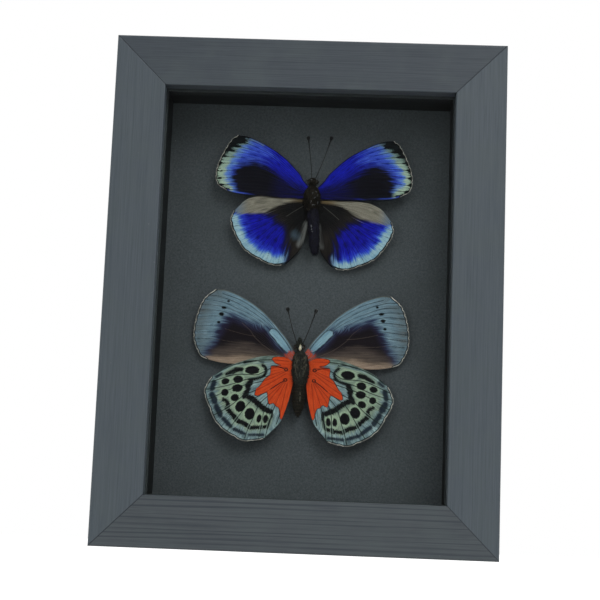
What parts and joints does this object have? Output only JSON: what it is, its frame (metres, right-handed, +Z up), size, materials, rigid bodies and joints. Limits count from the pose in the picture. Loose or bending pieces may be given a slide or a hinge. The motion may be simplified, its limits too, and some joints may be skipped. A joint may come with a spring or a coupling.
{
  "type": "butterfly display case",
  "caption": "Deep mitred box frame with a glass front, dark inner walls and spread butterflies on charcoal paper, closed at the back by a panel held with turn buttons.",
  "frame": {"origin": "middle of the case's flat base, under the bottom rail", "axes": "+X to the right seen from the front, +Y towards the back, so the glass faces -Y, +Z up along the case's height"},
  "size_m": [0.127, 0.0318, 0.165],
  "materials": {
    "frame_paint": "satin charcoal blue-grey paint over ridged softwood grain",
    "nail_steel": "bright zinc",
    "clear_glass": "polished, ground edges",
    "wall_black": "matt near-black stain",
    "charcoal_paper": "textured charcoal paper",
    "foam_board": "paper-faced foam board",
    "hardboard": "brown hardboard, smooth face out",
    "button_steel": "zinc-plated pressed steel",
    "hanger_brass": "brass-plated pressed steel",
    "bumper_rubber": "soft matt rubber",
    "foam_block": "cut closed-cell foam",
    "insect_body": "dark scales and hairs",
    "wing_blue": "structural blue scales on black",
    "wing_banded": "dusty blue, orange-red and banded scales"
  },
  "bodies": {
    "case": {"rail_top": "frame_paint", "rail_bottom": "frame_paint", "rail_left": "frame_paint", "rail_right": "frame_paint", "corner_v_nails": "nail_steel", "glass_pane": "clear_glass", "spacer_bottom": "wall_black", "spacer_top": "wall_black", "spacer_left": "wall_black", "spacer_right": "wall_black", "facing_paper": "charcoal_paper", "mount_board": "foam_board", "back_panel": "hardboard", "button_screws": "nail_steel", "hanger_plate": "hanger_brass", "hanger_nails": "hanger_brass", "wall_bumpers": "bumper_rubber", "upper_thorax": "insect_body", "upper_abdomen": "insect_body", "upper_head": "insect_body", "upper_antennae": "insect_body", "upper_forewing_left": "wing_blue", "upper_forewing_right": "wing_blue", "upper_hindwing_left": "wing_blue", "upper_hindwing_right": "wing_blue", "upper_riser": "foam_block", "lower_thorax": "insect_body", "lower_abdomen": "insect_body", "lower_head": "insect_body", "lower_palps": "insect_body", "lower_antennae": "insect_body", "lower_legs": "insect_body", "lower_forewing_left": "wing_banded", "lower_forewing_right": "wing_banded", "lower_hindwing_left": "wing_banded", "lower_hindwing_right": "wing_banded", "lower_riser": "foam_block"},
    "button_upper_left": {"turn_button_upper_left": "button_steel"},
    "button_upper_right": {"turn_button_upper_right": "button_steel"},
    "button_lower_left": {"turn_button_lower_left": "button_steel"},
    "button_lower_right": {"turn_button_lower_right": "button_steel"}
  },
  "joints": [
    {"name": "button_upper_left_turn", "type": "hinge", "parent": "case", "child": "button_upper_left", "pos_m": [-0.058, 0.01502, 0.1225], "axis": [0, 1, 0], "continuous": true},
    {"name": "button_upper_right_turn", "type": "hinge", "parent": "case", "child": "button_upper_right", "pos_m": [0.058, 0.01502, 0.1225], "axis": [0, 1, 0], "continuous": true},
    {"name": "button_lower_left_turn", "type": "hinge", "parent": "case", "child": "button_lower_left", "pos_m": [-0.058, 0.01502, 0.0425], "axis": [0, 1, 0], "continuous": true},
    {"name": "button_lower_right_turn", "type": "hinge", "parent": "case", "child": "button_lower_right", "pos_m": [0.058, 0.01502, 0.0425], "axis": [0, 1, 0], "continuous": true}
  ]
}
